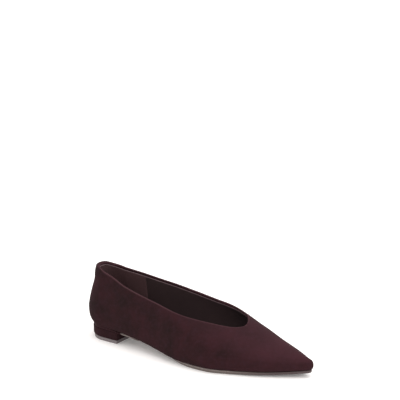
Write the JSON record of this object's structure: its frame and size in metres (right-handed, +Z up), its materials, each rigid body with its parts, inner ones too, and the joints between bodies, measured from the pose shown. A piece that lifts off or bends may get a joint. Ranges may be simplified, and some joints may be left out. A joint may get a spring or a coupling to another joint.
{
  "type": "pointed toe flat shoe",
  "caption": "Women's pointed toe flat for the right foot: low-cut suede upper with a rounded throat, thin arched outsole with toe spring, and a low covered block heel.",
  "frame": {"origin": "on the floor, under the middle of the shoe's bounding box", "axes": "+X from heel to toe, +Y to the inner side of the foot, +Z up; the shoe stands on z = 0"},
  "size_m": [0.2632, 0.0856, 0.0734],
  "materials": {
    "suede": "dark wine suede with a short nap, matt, lined",
    "sock_leather": "near black smooth lining leather, satin",
    "outsole_resin": "grey brown moulded resin, satin, lighter at the trimmed edge",
    "heel_suede": "block covered in the upper's wine suede",
    "rubber": "matt grey rubber"
  },
  "bodies": {
    "root": {"upper": "suede", "insole": "sock_leather", "outsole": "outsole_resin", "heel": "heel_suede", "top_piece": "rubber"}
  },
  "joints": []
}
